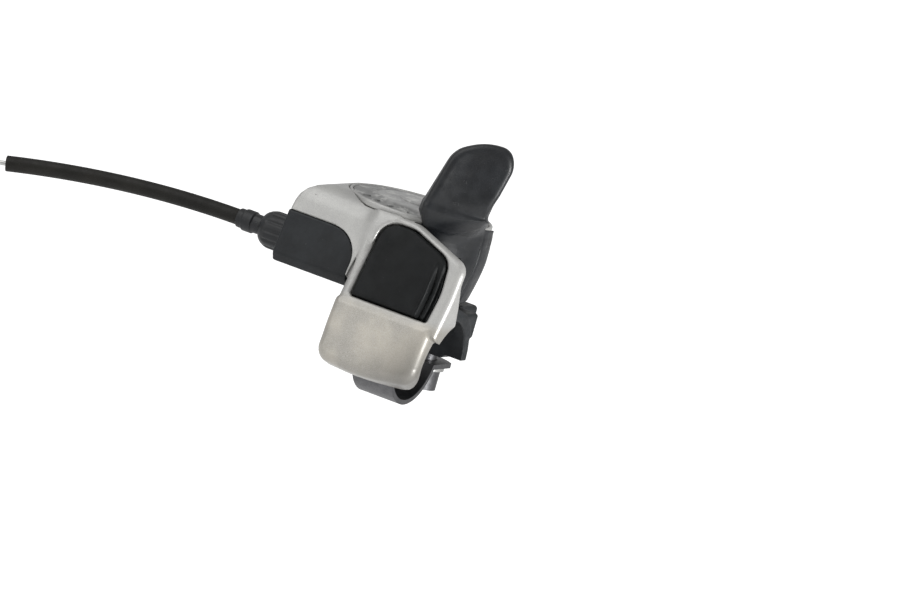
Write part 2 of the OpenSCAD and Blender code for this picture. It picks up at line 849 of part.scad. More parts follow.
base_housing();
front_cover();
front_pad();
cover_screws();
top_cap();
dial_plate();
dial_cap();
dial_screw();
pivot_axle();
axle_nut();
detent_spring();
detent_pin();
balance_spring();
clamp_band();
band_screw();
clamp_bolt();
clamp_washer();
clamp_nut();
thumb_lever();
lever_plate();
hub_bush();
cable_drum();
detent_disc();
wave_washer();
cable_nipple();
inner_cable();
barrel_adjuster();
adjuster_spring();
housing_ferrule();
cable_housing();
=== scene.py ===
"""Thumb shifter: the visual model, its materials and its studio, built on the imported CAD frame.

Shells with soft edges are signed distance functions in millimetres, meshed with surface nets and
scaled to metres. Small metal parts are the CAD nodes themselves, with a fine bevel.
"""

import json
import math

import bpy
import numpy as np
from mathutils import Matrix, Vector

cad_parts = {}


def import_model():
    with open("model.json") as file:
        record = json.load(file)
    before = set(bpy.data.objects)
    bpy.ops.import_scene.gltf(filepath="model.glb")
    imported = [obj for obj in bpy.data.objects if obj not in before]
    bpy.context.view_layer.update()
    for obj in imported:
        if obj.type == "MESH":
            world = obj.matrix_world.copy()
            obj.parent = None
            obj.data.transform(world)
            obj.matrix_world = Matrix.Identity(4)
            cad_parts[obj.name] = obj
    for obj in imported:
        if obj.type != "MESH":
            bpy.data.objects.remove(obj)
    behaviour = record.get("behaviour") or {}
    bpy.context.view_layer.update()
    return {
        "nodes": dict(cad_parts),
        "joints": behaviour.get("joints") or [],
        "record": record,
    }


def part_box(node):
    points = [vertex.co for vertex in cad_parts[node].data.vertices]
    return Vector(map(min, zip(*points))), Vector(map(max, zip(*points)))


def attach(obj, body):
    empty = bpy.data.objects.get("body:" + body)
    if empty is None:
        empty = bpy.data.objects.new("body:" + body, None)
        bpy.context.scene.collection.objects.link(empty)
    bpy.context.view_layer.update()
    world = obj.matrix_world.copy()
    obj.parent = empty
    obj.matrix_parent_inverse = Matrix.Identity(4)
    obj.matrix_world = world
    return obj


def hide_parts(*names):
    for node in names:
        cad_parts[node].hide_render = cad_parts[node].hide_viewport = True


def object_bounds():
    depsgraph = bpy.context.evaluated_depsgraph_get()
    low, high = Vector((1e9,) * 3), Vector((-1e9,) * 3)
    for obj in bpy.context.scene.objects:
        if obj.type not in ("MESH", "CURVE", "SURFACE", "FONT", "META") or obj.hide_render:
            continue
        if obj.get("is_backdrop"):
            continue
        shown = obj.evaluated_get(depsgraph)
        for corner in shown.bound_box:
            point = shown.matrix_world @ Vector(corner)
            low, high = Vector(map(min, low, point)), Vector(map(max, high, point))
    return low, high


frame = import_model()

# ---------------------------------------------------------------- sizes, in millimetres

MM = 1000.0
JOINTS = {joint["name"]: joint for joint in frame["joints"]}
MOUNTS = {mount["name"]: mount for mount in frame["record"]["mounts"]}


def box_mm(node):
    """Lowest and highest corner of a CAD node, in millimetres."""
    low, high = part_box(node)
    return np.array(low) * MM, np.array(high) * MM


PIVOT = np.array(JOINTS["lever_turn"]["pos_m"]) * MM
CABLE = np.array(JOINTS["adjuster_turn"]["pos_m"]) * MM
CLAMP_R = MOUNTS["handlebar_clamp"]["dims"]["r_mm"]
CAP_LOW, CAP_HIGH = box_mm("top_cap")
FERRULE_LOW, FERRULE_HIGH = box_mm("housing_ferrule")
STUB_LOW = box_mm("cable_housing")[0]
HEAD_LEFT = box_mm("barrel_adjuster")[0][0]
LEVER_TOP = box_mm("thumb_lever")[1][2]

# Dial and its rim
DIAL_R = (CAP_HIGH[0] - CAP_LOW[0]) / 2
DISC_R = 10.6
CAP_Z = CAP_LOW[2]
RIM_Z = CAP_HIGH[2] - 0.35
RIM_WIDTH = 1.9
RIM_DEG = (134, 296)
GEARS = 7
CLICK_DEG = 17.5
FIRST_MARK_DEG = -130

# Front face, which leans back: v is the depth from it and w the height on it
LEAN = math.radians(18)
FACE_V = 15.6
SHIELD_V = FACE_V + 0.5
SHIELD_TOP_W = 5.6
SHIELD_TOP_Z = FACE_V * math.sin(LEAN) + SHIELD_TOP_W * math.cos(LEAN)
SHELL = 1.8
FRAME_EDGE_R = 1.9
SHIELD_EDGE_R = 2.2
PAD_BACK_V = -FACE_V + 3.4

# Cable box and the cover's arm and web over it
BOX_LEFT = box_mm("base_housing")[0][0]
BOX_BACK = 13.0
BOX_Z = (11.6, 24.6)
ARM_TOP = RIM_Z + 0.3
BITE_AT = (-21.6, 13.4)
BITE_R = 7.6
WEB_LOW = 10.4

# Cup and lever
CUP_R = 15.2
CUP_IN_R = 13.6
CUP_FLOOR_Z = 14.0
CUP_TOP = 23.0
SADDLE_TOP = 12.4
HUB_R = DIAL_R - 1.6
HUB_LOW = 24.7
BOSS = 4.5
BUSH_R = 4.02
SKIRT_R = DIAL_R + 0.8
SKIRT_LOW = 13.0
SKIRT_DEG = (-62, 25)
NECK_DEG = (-62, 2)
NECK_LOW = 28.5
SWEPT_DEG = (SKIRT_DEG[0] - 5, 110)
DIAL_CLEAR_Z = RIM_Z + 1.8
PADDLE_AT = np.array([7.7, -17.9])
PADDLE_TURN = math.radians(28)
PADDLE_V = (-3.7, 3.3)

# Barrel adjuster, ferrule and cable
HEAD_RIGHT = HEAD_LEFT + 9.8
SHANK_R = 2.5
THREAD_PITCH = 0.8
WIRE_HOLE_R = 1.1
HOUSING_R = 2.0
JACKET_R = HOUSING_R - 0.02
WIRE_R = 0.6
WIRE_TAIL = 2.9
STRANDS = 12
STRAND_LAY = 5.5

# ---------------------------------------------------------------- signed distance functions


def blend_min(a, b, k):
    """Union with a fillet of about k."""
    h = np.clip(0.5 + 0.5 * (b - a) / k, 0, 1)
    return b + (a - b) * h - k * h * (1 - h)


def blend_max(a, b, k):
    """Intersection with a rounded edge of about k."""
    return -blend_min(-a, -b, k)


def cut(a, b, k):
    """a without b, the edge rounded by about k."""
    return -blend_min(-a, b, k)


def between(t, low, high):
    """Distance to the slab low < t < high."""
    return np.maximum(low - t, t - high)


def ramp(t, zero, one):
    """Straight ramp that is 0 at zero and 1 at one, and flat outside them."""
    return np.clip((t - zero) / (one - zero), 0, 1)


def hump(t, at, width):
    """Bell curve of height 1."""
    return np.exp(-(((t - at) / width) ** 2))


def rounded_max(a, b, r):
    """Intersection of two distances with a true radius r on the edge."""
    a, b = a + r, b + r
    return np.minimum(np.maximum(a, b), 0) + np.hypot(np.maximum(a, 0), np.maximum(b, 0)) - r


def block(x, y, z, low, high, r):
    """Box from low to high with edges of radius r."""
    q = [np.abs(t - (a + b) / 2) - ((b - a) / 2 - r) for t, a, b in zip((x, y, z), low, high)]
    outside = np.sqrt(sum(np.maximum(t, 0) ** 2 for t in q))
    return outside + np.minimum(np.maximum(np.maximum(q[0], q[1]), q[2]), 0) - r


def sector(x, y, degrees):
    """Distance to the wedge between two angles less than half a turn apart."""
    (c0, s0), (c1, s1) = [(math.cos(math.radians(a)), math.sin(math.radians(a))) for a in degrees]
    return np.maximum(s0 * x - c0 * y, c1 * y - s1 * x)


def arc_points(before, corner, after, r, steps):
    """Points of the arc of radius r that rounds a corner."""
    u = (before - corner) / np.linalg.norm(before - corner)
    w = (after - corner) / np.linalg.norm(after - corner)
    half = math.acos(np.clip(u @ w, -1, 1)) / 2
    centre = corner + (u + w) / np.linalg.norm(u + w) * r / math.sin(half)
    start, end = (corner + d * r / math.tan(half) - centre for d in (u, w))
    turn = math.pi - 2 * half
    for k in range(steps + 1):
        a, b = turn * (1 - k / steps), turn * k / steps
        yield centre + (math.sin(a) * start + math.sin(b) * end) / math.sin(turn)


def outline(corners, radii, steps=6):
    """Distance function of a closed outline whose corner i is rounded to radii[i]."""
    corners = [np.array(c, float) for c in corners]
    points = []
    for i, corner in enumerate(corners):
        if radii[i]:
            after = corners[(i + 1) % len(corners)]
            points += arc_points(corners[i - 1], corner, after, radii[i], steps)
        else:
            points.append(corner)

    def distance(u, v):
        nearest = np.full(u.shape, np.inf, np.float32)
        sign = np.ones(u.shape, np.float32)
        for a, b in zip(points, points[1:] + points[:1]):
            eu, ev = b - a
            du, dv = u - a[0], v - a[1]
            t = np.clip((du * eu + dv * ev) / (eu * eu + ev * ev), 0, 1)
            nearest = np.minimum(nearest, (du - eu * t) ** 2 + (dv - ev * t) ** 2)
            above, below, left = v >= a[1], v < b[1], eu * dv > ev * du
            sign[(above & below & left) | ~(above | below | left)] *= -1
        return sign * np.sqrt(nearest)

    return distance


def on_face(y, z):
    """(depth, height) on the leaning front face."""
    return y * math.cos(LEAN) - z * math.sin(LEAN), y * math.sin(LEAN) + z * math.cos(LEAN)


def from_pivot(x, y):
    """Place and distance from the lever's axle, seen from above."""
    dx, dy = x - PIVOT[0], y - PIVOT[1]
    return dx, dy, np.hypot(dx, dy)


# ---------------------------------------------------------------- surface nets

BLOCK = 8
BLOCKS_AT_ONCE = 600


def sample(shape, low, high, step):
    """Grid of distances, in full only near the surface, and the grid's lowest corner."""
    low = np.array(low, float) - 2 * step
    blocks = np.ceil((np.array(high, float) + 2 * step - low) / (BLOCK * step)).astype(int)
    index = np.stack(np.meshgrid(*[np.arange(n) for n in blocks], indexing="ij"), -1).reshape(-1, 3)
    middle = low + (index + 0.5) * BLOCK * step
    coarse = shape(*middle.T.astype(np.float32))
    reach = BLOCK * step * 1.3
    signs = np.where(coarse < 0, -1.0, 1.0).astype(np.float32).reshape(blocks)
    grid = signs.repeat(BLOCK, 0).repeat(BLOCK, 1).repeat(BLOCK, 2)
    near = index[np.abs(coarse) < reach]
    inner = np.stack(np.meshgrid(*[np.arange(BLOCK)] * 3, indexing="ij"), -1).reshape(-1, 3)
    for part in np.array_split(near, max(1, len(near) // BLOCKS_AT_ONCE)):
        cells = (part[:, None, :] * BLOCK + inner).reshape(-1, 3)
        grid[tuple(cells.T)] = shape(*(low + cells * step).T.astype(np.float32))
    return grid, low


def surface_net(grid):
    """Vertices, in grid steps, and quads of the zero surface of a grid."""
    inside = grid < 0
    corner_at = [np.array(c) for c in np.ndindex(2, 2, 2)]
    views = [tuple(slice(o, n - 1 + o) for o, n in zip(c, grid.shape)) for c in corner_at]
    count = sum(inside[v].astype(np.int8) for v in views)
    active = (count > 0) & (count < 8)
    cells = np.argwhere(active)
    number = np.full(active.shape, -1, np.int64)
    number[active] = np.arange(len(cells))
    total = np.zeros((len(cells), 3))
    hits = np.zeros(len(cells))
    values = [grid[tuple((cells + c).T)] for c in corner_at]
    for i, a in enumerate(corner_at):
        for j, b in enumerate(corner_at):
            if i < j and np.abs(a - b).sum() == 1:
                crossed = (values[i] < 0) != (values[j] < 0)
                t = values[i][crossed] / (values[i][crossed] - values[j][crossed])
                total[crossed] += a + t[:, None] * (b - a)
                hits[crossed] += 1
    vertices = cells + total / hits[:, None]
    unit = np.eye(3, dtype=int)
    quads = []
    for axis in range(3):
        second, third = (axis + 1) % 3, (axis + 2) % 3
        u, v = unit[second], unit[third]
        lower = inside.take(range(inside.shape[axis] - 1), axis)
        upper = inside.take(range(1, inside.shape[axis]), axis)
        edges = np.argwhere(lower != upper)
        for along in (second, third):
            place = edges[:, along]
            edges = edges[(place > 0) & (place < grid.shape[along] - 1)]
        ring = np.stack([number[tuple((edges - o).T)] for o in (0 * u, u, u + v, v)], 1)
        outward = lower[tuple(edges.T)]
        quads.append(np.where(outward[:, None], ring, ring[:, ::-1]))
    return vertices, np.concatenate(quads)


def gradient(shape, points, step):
    """Slope of a distance function, from four samples round each point."""
    slope = np.zeros_like(points)
    for direction in ((1, -1, -1), (-1, -1, 1), (-1, 1, -1), (1, 1, 1)):
        d = np.array(direction, float)
        slope += d * shape(*(points + d * step).T)[:, None]
    return slope / (4 * step)


def link_object(name, mesh):
    """Object that shows a mesh."""
    obj = bpy.data.objects.new(name, mesh)
    bpy.context.scene.collection.objects.link(obj)
    return obj


def mesh_of(name, shape, low, high, step):
    """Object with the zero surface of shape: vertices pulled onto it, normals from its slope."""
    grid, origin = sample(shape, low, high, step)
    vertices, quads = surface_net(grid)
    points = origin + vertices * step
    for _ in range(2):
        slope = gradient(shape, points, step * 0.1)
        steep = np.maximum((slope**2).sum(1), 0.25)[:, None]
        move = -shape(*points.T)[:, None] * slope / steep
        points += np.clip(move, -0.6 * step, 0.6 * step)
    normals = gradient(shape, points, step * 0.35)
    normals /= np.maximum(np.linalg.norm(normals, axis=1), 1e-6)[:, None]
    mesh = bpy.data.meshes.new(name)
    mesh.vertices.add(len(points))
    mesh.vertices.foreach_set("co", (points / MM).astype(np.float32).ravel())
    mesh.loops.add(quads.size)
    mesh.loops.foreach_set("vertex_index", quads.astype(np.int32).ravel())
    mesh.polygons.add(len(quads))
    mesh.polygons.foreach_set("loop_start", np.arange(0, quads.size, 4, dtype=np.int32))
    mesh.update(calc_edges=True)
    mesh.validate()
    mesh.normals_split_custom_set_from_vertices(normals.astype(np.float32))
    return link_object(name, mesh)


# ---------------------------------------------------------------- cover and pad

# Outlines on the front face, in (x, w)
FRAME_OUTER = outline(
    [(-13.7, 3), (14.5, 3), (15, 13), (14.7, 22.6), (-1.5, 28.6), (-12.6, 28.6), (-13.0, 22)],
    [0, 0, 30, 3.8, 10, 1, 20],
)
WINDOW = outline(
    [(-10.7, 6.3), (10.6, 6.3), (11.2, 14), (10, 22.4), (-1.2, 26.6), (-9.7, 26.6)],
    [0.7, 0.7, 20, 4.5, 8, 4.6],
)
SHIELD = outline(
    [
        (-14.3, -10.1),
        (-1, -11.3),
        (12.4, -8.9),
        (13.1, SHIELD_TOP_W + 0.2),
        (-14, SHIELD_TOP_W + 0.2),
    ],
    [3.6, 40, 4, 1, 1.4],
)
# Back limit of the frame and the shield, in (v, w)
SIDE_VIEW = outline(
    [(-30, -30), (-8, -30), (-5, -2), (-6, 7.5), (-8.9, 11.2), (-13.4, 17.6), (-13.4, 34), (-30, 34)],
    [0, 0, 4, 3, 3, 1, 0, 0],
)
# The arm from the front, in (x, z), and from above, in (x, y)
ARM_SIDE = outline(
    [(BOX_LEFT, BOX_Z[1] - 12), (-8, BOX_Z[1] - 12), (-8, ARM_TOP), (BOX_LEFT, ARM_TOP)],
    [0, 0, 0, BITE_R],
)
ARM_PLAN = outline(
    [
        (BOX_LEFT, -20),
        (-8, -20),
        (-8, PIVOT[1]),
        (PIVOT[0] - 12.5, PIVOT[1] + 12.5),
        (BOX_LEFT, BOX_BACK - 4),
    ],
    [0, 0, 0, 3, 5],
)


def lever_space(x, y, z):
    """Room swept by the hub, the skirt and the paddle."""
    dx, dy, r = from_pivot(x, y)
    hub = np.maximum(r - HUB_R - 0.3, CUP_TOP + 0.1 - z)
    skirt = np.maximum(r - SKIRT_R - 0.4, SKIRT_LOW - 0.3 - z)
    skirt = np.maximum(skirt, sector(dx, dy, SWEPT_DEG))
    return np.minimum(hub, np.maximum(skirt, CUP_R + 0.05 - r))


def web(x, w):
    """Flat outline of the cover's corner over the cable box, hollowed by a round bite."""
    region = np.maximum(between(x, BITE_AT[0], -12), between(w, WEB_LOW, 23))
    bite = BITE_R - np.hypot(x - BITE_AT[0], w - BITE_AT[1])
    below = np.maximum(x - BITE_AT[0] - BITE_R, w - BITE_AT[1])
    return blend_max(region, np.maximum(bite, -below), 0.4)


def cover_frame(x, v, w, side):
    """Frame of the window: a solid with a broad rounded edge, hollowed from behind."""
    edge = FRAME_OUTER(x, w)
    crown = 0.25 * (x / 14) ** 2
    bezel = rounded_max(edge, -FACE_V + crown - v, FRAME_EDGE_R)
    bezel = blend_max(bezel, side, 0.5)
    return cut(bezel, np.maximum(edge + SHELL, -FACE_V + 2.2 - v), 0.3)


def cover_shield(x, v, w, side):
    """Convex shield over the bar, with a ledge on top and a soft roll at the bottom."""
    edge = SHIELD(x, w)
    bulge = (0.3 + 1.6 * ramp(w, 4, -5)) * ((x + 2) / 14) ** 2 + 1.4 * ramp(w, 1, -10) ** 2
    shield = rounded_max(edge, -SHIELD_V + bulge - v, SHIELD_EDGE_R)
    ledge = 0.9 * (w - SHIELD_TOP_W) - 0.43 * (v + SHIELD_V)
    shield = blend_max(shield, ledge, 0.2)
    shield = blend_max(shield, side, 0.5)
    return cut(shield, np.maximum(edge + SHELL, -FACE_V + 1.6 + bulge - v), 0.3)


def cover_arm(x, y, z, v, w):
    """Arm over the cable box, and the web in the corner between the arm and the frame."""
    front = -FACE_V + 0.5 - v
    arm = np.maximum(rounded_max(z - ARM_TOP, front, 5.0), rounded_max(ARM_SIDE(x, z), front, 0.9))
    arm = blend_max(arm, ARM_PLAN(x, y), 1.2)
    arm = cut(arm, arm + SHELL, 0.3)
    arm = blend_max(arm, BOX_Z[1] + 0.05 - z, 0.25)
    corner = rounded_max(web(x, w), np.abs(v + FACE_V - 1.35) - 0.85, 0.25)
    return np.minimum(arm, corner)


def front_cover(x, y, z):
    """Silver cover: window frame, shield over the bar, arm over the cable box and dial rim."""
    v, w = on_face(y, z)
    dx, dy, r = from_pivot(x, y)
    side = SIDE_VIEW(v, w)
    rim = np.maximum(between(r, DIAL_R - RIM_WIDTH, DIAL_R), sector(dx, dy, RIM_DEG))
    rim = blend_max(rim, between(z, CUP_TOP, CAP_Z + 0.3), 0.3)
    # The arm melts into the top of the frame and meets its left post in a sharper line
    melt = 0.6 + 3.4 * ramp(w, 16, 24)
    shell = blend_min(cover_frame(x, v, w, side), cover_arm(x, y, z, v, w), melt)
    shell = blend_min(shell, rim, 0.6)
    shell = blend_min(shell, cover_shield(x, v, w, side), 0.35)
    # Openings for the pad, the bar, the lever and the dial
    shell = cut(shell, WINDOW(x, w), 1.0)
    shell = cut(shell, np.hypot(y, z) - CLAMP_R - 0.4, 0.3)
    shell = cut(shell, lever_space(x, y, z), 0.25)
    shell = cut(shell, np.maximum(r - DIAL_R - 0.15, CAP_Z - 0.05 - z), 0.25)
    # Crease between the web and the left post, fading out upwards
    crease = np.abs(x + 13.2 - 0.03 * (w - 9)) + 0.5 - 0.92 * ramp(w, 21, 12)
    crease = np.maximum(np.maximum(crease, v + FACE_V - 1.3), WEB_LOW - w)
    return cut(shell, crease, 0.3)


def front_pad(x, y, z):
    """Black insert: a crowned field, then a ridge, a groove and a lower strip on its right."""
    v, w = on_face(y, z)
    window = WINDOW(x, w)
    crown = 0.5 * ((x + 1) / 11) ** 2 + 0.4 * ((w - 15) / 12) ** 2
    past = x - 8.0 + 0.012 * (w - 13) ** 2
    drop = 0.6 * ramp(past, 0, 0.7) - 0.45 * hump(past, 0, 0.35)
    drop += 0.8 * hump(past, 0.75, 0.3) + 0.9 * hump(past, 2.3, 0.3)
    front = -FACE_V - 0.75 + crown + ramp(w, 21, 15) * drop
    body = rounded_max(window + 0.35, front - v, 0.8)
    flange = np.maximum(window - 0.9, between(v, PAD_BACK_V - 1.1, PAD_BACK_V))
    body = np.maximum(np.minimum(body, flange), v - PAD_BACK_V)
    return cut(body, lever_space(x, y, z), 0.2)


# ---------------------------------------------------------------- lever

# Outline of the paddle, in (distance along it, z)
PADDLE = outline(
    [
        (8, NECK_LOW),
        (18.5, NECK_LOW),
        (17, 40.5),
        (19.4, LEVER_TOP - 4.4),
        (17.6, LEVER_TOP - 0.5),
        (11.5, LEVER_TOP - 0.1),
        (4.2, LEVER_TOP - 3.9),
        (0.2, 37),
        (-0.4, 34.2),
        (2.2, 31),
    ],
    [0, 0, 9, 6, 3.6, 14, 7, 1.2, 0.8, 0.6],
)


def lever_hub(x, y, z, r):
    """Shallow cup under the dial, with a square boss and a round bore below it."""
    hub = rounded_max(r - HUB_R, between(z, HUB_LOW, CAP_Z - 0.25), 0.3)
    hub = cut(hub, np.maximum(r - HUB_R + 1.4, CAP_Z - 1.65 - z), 0.2)
    low, high = (-BOSS, -BOSS, CUP_FLOOR_Z + 0.15), (BOSS, BOSS, HUB_LOW + 0.3)
    return np.maximum(np.minimum(hub, block(x, y, z, low, high, 0.3)), BUSH_R - r)


def lever_skirt(x, y, z, r, degrees):
    """Skirt round the cup, drawn in towards its lower edge, with a groove before its far end."""
    outer = SKIRT_R - 2 * ramp(z, 24, 13) ** 1.4 - 0.25 * ramp(z, 27, 31)
    groove = 0.35 * hump(degrees, -4, 1.4)
    skirt = rounded_max(r - outer + groove, between(z, SKIRT_LOW, CAP_Z - 0.25), 1.0)
    skirt = blend_max(skirt, CUP_R + 0.4 - r, 0.3)
    return blend_max(skirt, sector(x, y, SKIRT_DEG), 0.8)


def lever_grip(x, y, z, r, degrees):
    """Paddle with a shallow thumb hollow, on a neck that widens from the skirt up to it."""
    px, py = x - PADDLE_AT[0], y - PADDLE_AT[1]
    along = px * math.cos(PADDLE_TURN) + py * math.sin(PADDLE_TURN)
    depth = py * math.cos(PADDLE_TURN) - px * math.sin(PADDLE_TURN)
    rise = ramp(z, 36, LEVER_TOP)
    lean = depth - 0.9 * rise**2
    front = PADDLE_V[0] + 1.4 * rise**2 + 1.6 * ramp(z, 40, 32) ** 1.5
    back = PADDLE_V[1] - 1.6 * rise**2
    plane = PADDLE(along, z)
    paddle = rounded_max(plane, between(lean, front, back), 1.9)
    ball_r = 22
    ball_at = (9.8, PADDLE_V[0] - ball_r + 1.8, 48.5)
    ball = (along - ball_at[0]) ** 2 + (lean - ball_at[1]) ** 2 + (0.9 * (z - ball_at[2])) ** 2
    paddle = cut(paddle, np.sqrt(ball) - ball_r, 2.6)
    # The neck is a cone that fades out towards the skirt's far end, outside the dial's rim
    fade = ramp(degrees, 2, -26)
    cone = 7 * np.maximum((z - NECK_LOW) / 7.5, 0) ** 1.3
    neck = np.maximum(r - SKIRT_R + 0.8 - cone * fade, sector(x, y, NECK_DEG))
    neck = np.maximum(np.maximum(neck, DIAL_R + 0.3 - r), between(z, 22, 33.6 + 2.4 * fade))
    neck = blend_max(neck, np.maximum(plane + 0.2, front + 0.3 - lean), 1.2)
    paddle = blend_max(paddle, 0.6 * (r - SKIRT_R + 0.3 - cone), 6.0)
    return blend_min(neck, paddle, 2.4)


def thumb_lever(x, y, z):
    """Tall paddle that leans out over the dial's rim, its neck, the skirt and the hub."""
    x, y, r = from_pivot(x, y)
    degrees = np.degrees(np.arctan2(y, x))
    lever = blend_min(lever_grip(x, y, z, r, degrees), lever_skirt(x, y, z, r, degrees), 1.8)
    dial_room = np.maximum(r - DIAL_R - 0.25, between(z, CAP_Z - 0.3, DIAL_CLEAR_Z))
    lever = cut(lever, dial_room, 0.5)
    # Thin wall that carries the skirt up round the dial's rim
    wall_top = RIM_Z + 0.6 - 1.3 * ramp(degrees, -15, 25)
    wall = np.maximum(between(r, DIAL_R + 0.12, SKIRT_R - 0.25), between(z, NECK_LOW, wall_top))
    lever = blend_min(lever, blend_max(wall, sector(x, y, SKIRT_DEG), 0.6), 0.4)
    return blend_min(lever, lever_hub(x, y, z, r), 0.3)


# ---------------------------------------------------------------- base


def cable_box(x, y, z):
    """Box for the barrel adjuster: its front slopes out downwards and is bevelled below."""
    nose = -7.8 - 0.245 * (BOX_Z[1] - z)
    box = rounded_max(between(x, BOX_LEFT, -11), between(z, *BOX_Z), 0.5)
    box = rounded_max(box, between(y, nose, BOX_BACK), 0.6)
    bevel = 0.77 * (nose + 1.9 - y) + 0.64 * (BOX_Z[0] - z)
    return blend_max(box, bevel, 0.4)


def base_body(x, y, z, v, w):
    """Saddle over the bar, cup, lug for the clamp, cable box, and the walls behind the cover."""
    dx, dy, r = from_pivot(x, y)
    saddle = rounded_max(np.hypot(y, z) - 14, between(x, -12, 12), 0.6)
    saddle = blend_max(saddle, 0.4 - z, 0.4)
    bridge = block(x, y, z, (-12, -8, 6), (12, 14, SADDLE_TOP), 0.8)
    cup = rounded_max(r - CUP_R, between(z, 9, CUP_TOP), 0.5)
    lug = block(x, y, z, (-7, 8, -0.6), (7, 24, SADDLE_TOP), 1.0)
    body = blend_min(blend_min(saddle, bridge, 0.8), cup, 0.8)
    body = blend_min(blend_min(body, lug, 0.8), cable_box(x, y, z), 0.8)
    shoulder = rounded_max(r - DIAL_R, between(z, 20, CUP_TOP - 0.05), 0.4)
    shoulder = np.maximum(shoulder, sector(dx, dy, (135, 236)))
    front = block(x, v, w, (-11.8, -FACE_V + 1.7, -4), (11.5, -7, 4.4), 0.8)
    wall = block(x, v, w, (-11, PAD_BACK_V + 0.1, 2), (10.8, PAD_BACK_V + 1.9, 25.5), 0.4)
    return np.minimum(np.minimum(body, shoulder), np.minimum(front, wall))


def adjuster_room(x, y, z):
    """Spring seat, adjuster thread and wire channel, one behind the other on the cable's line."""
    off_line = np.hypot(y - CABLE[1], z - CABLE[2])
    seat = np.maximum(off_line - 3.6, x + 30.5)
    thread = np.maximum(off_line - 2.55, x + 22.5)
    channel = np.maximum(off_line - WIRE_HOLE_R, x - PIVOT[0])
    return np.minimum(seat, np.minimum(thread, channel))


def cover_room(x, v, w):
    """Room for the cover's frame and web, its shield and the pad's flange."""
    cover = np.minimum(np.maximum(-13.9 - x, 3.9 - w), web(x, w) - 0.12)
    cover = np.maximum(cover, v + FACE_V - 2.25)
    shield = np.maximum(np.maximum(v + FACE_V - 1.65, w - 5), np.abs(x) - 14.5)
    flange = np.maximum(WINDOW(x, w) - 1.1, v - PAD_BACK_V - 0.05)
    return np.minimum(cover, np.minimum(shield, flange))


def clamp_room(x, y, z):
    """Room for the band in front, the clamp bolt and its nut."""
    band = np.maximum(np.maximum(np.abs(x) - 5.7, y + CLAMP_R - 0.01), z - 7.2)
    bolt = np.maximum(np.hypot(x, y - 17.6) - 2.75, z - 10.8)
    nut = block(x, y, z, (-4.1, 13.4, 2.95), (4.1, 40, 7.1), 0.15)
    return np.minimum(band, np.minimum(bolt, nut))


def base_housing(x, y, z):
    """Black body of the shifter, with room for everything that it holds."""
    v, w = on_face(y, z)
    r = from_pivot(x, y)[2]
    body = base_body(x, y, z, v, w)
    body = cut(body, np.maximum(r - CUP_IN_R, CUP_FLOOR_Z - z), 0.3)
    # Seat of the axle's flange in the cup's floor; nothing is taken away below it
    below_seat = np.where(z < CUP_FLOOR_Z - 1.3, -9, 0)
    body = np.maximum(body, np.minimum(5.55 - r, 0) + below_seat)
    body = cut(body, adjuster_room(x, y, z), 0.25)
    # Hollow under the cable box
    body = cut(body, block(x, y, z, (-26, -7.4, 0), (-16, CABLE[1] - 4.2, 22.6), 0.6), 0.3)
    body = cut(body, cover_room(x, v, w), 0.25)
    body = cut(body, clamp_room(x, y, z), 0.25)
    # Cover screws, in counterbores from below
    for screw_y in (-4.6, 9.6):
        off_screw = np.hypot(x + 29.5, y - screw_y)
        body = cut(body, np.minimum(off_screw - 1.5, np.maximum(off_screw - 3, z - 15)), 0.2)
    body = cut(body, lever_space(x, y, z), 0.25)
    return cut(body, np.hypot(y, z) - CLAMP_R, 0.2)


# ---------------------------------------------------------------- dial

# Section of the bezel, in (distance from the pivot, z)
CAP_PROFILE = outline(
    [
        (6.3, CAP_Z + 0.35),
        (DIAL_R - 2, CAP_Z + 0.02),
        (DIAL_R, CAP_Z + 0.02),
        (DIAL_R, RIM_Z + 0.3),
        (DIAL_R - 0.7, RIM_Z + 0.35),
        (DIAL_R - 0.95, RIM_Z - 0.25),
        (6.3, RIM_Z - 0.3),
    ],
    [0, 0, 0.35, 0.4, 0.2, 0.1, 0],
)


def top_cap(x, y, z):
    """Silver bezel round the dial, with the socket for the axle's nut below."""
    r = from_pivot(x, y)[2]
    socket = np.maximum(between(r, 1.6, 6.4), between(z, CAP_Z + 0.3, RIM_Z + 0.2))
    cap = np.minimum(CAP_PROFILE(r, z), socket)
    return cut(cap, np.maximum(r - 4.9, z - CAP_Z - 0.75), 0.1)


def dial_plate(x, y, z):
    """Grey plate: a lower outer track with raised marks, and a raised middle disc."""
    dx, dy, r = from_pivot(x, y)
    track = rounded_max(r - DIAL_R + 0.95, between(z, RIM_Z - 0.25, RIM_Z + 0.15), 0.15)
    crown = RIM_Z + 1.0 - 0.15 * (r / DISC_R) ** 2
    disc = rounded_max(r - DISC_R - (RIM_Z + 1 - z) * 2.2, z - crown, 0.3)
    plate = blend_min(track, np.maximum(disc, RIM_Z - z), 0.25)
    for i in range(GEARS):
        turn = math.radians(FIRST_MARK_DEG + CLICK_DEG * i)
        along = dx * math.cos(turn) + dy * math.sin(turn)
        aside = dy * math.cos(turn) - dx * math.sin(turn)
        low, high = (DIAL_R - 4.1, -0.4, RIM_Z), (DIAL_R - 1.9, 0.4, RIM_Z + 0.5)
        plate = blend_min(plate, block(along, aside, z, low, high, 0.2), 0.15)
    return cut(np.maximum(plate, 1.6 - r), np.maximum(r - 6.6, z - RIM_Z - 0.25), 0.05)


def dial_cap(x, y, z):
    """Small disc that hides the dial's screw."""
    r = from_pivot(x, y)[2]
    low = RIM_Z + 0.55
    cap = rounded_max(r - 5.5, between(z, low, low + 1.2 - 0.3 * (r / 5.5) ** 2), 0.35)
    return cut(cap, np.maximum(r - 3, z - low - 0.65), 0.05)


# ---------------------------------------------------------------- adjuster and ferrule


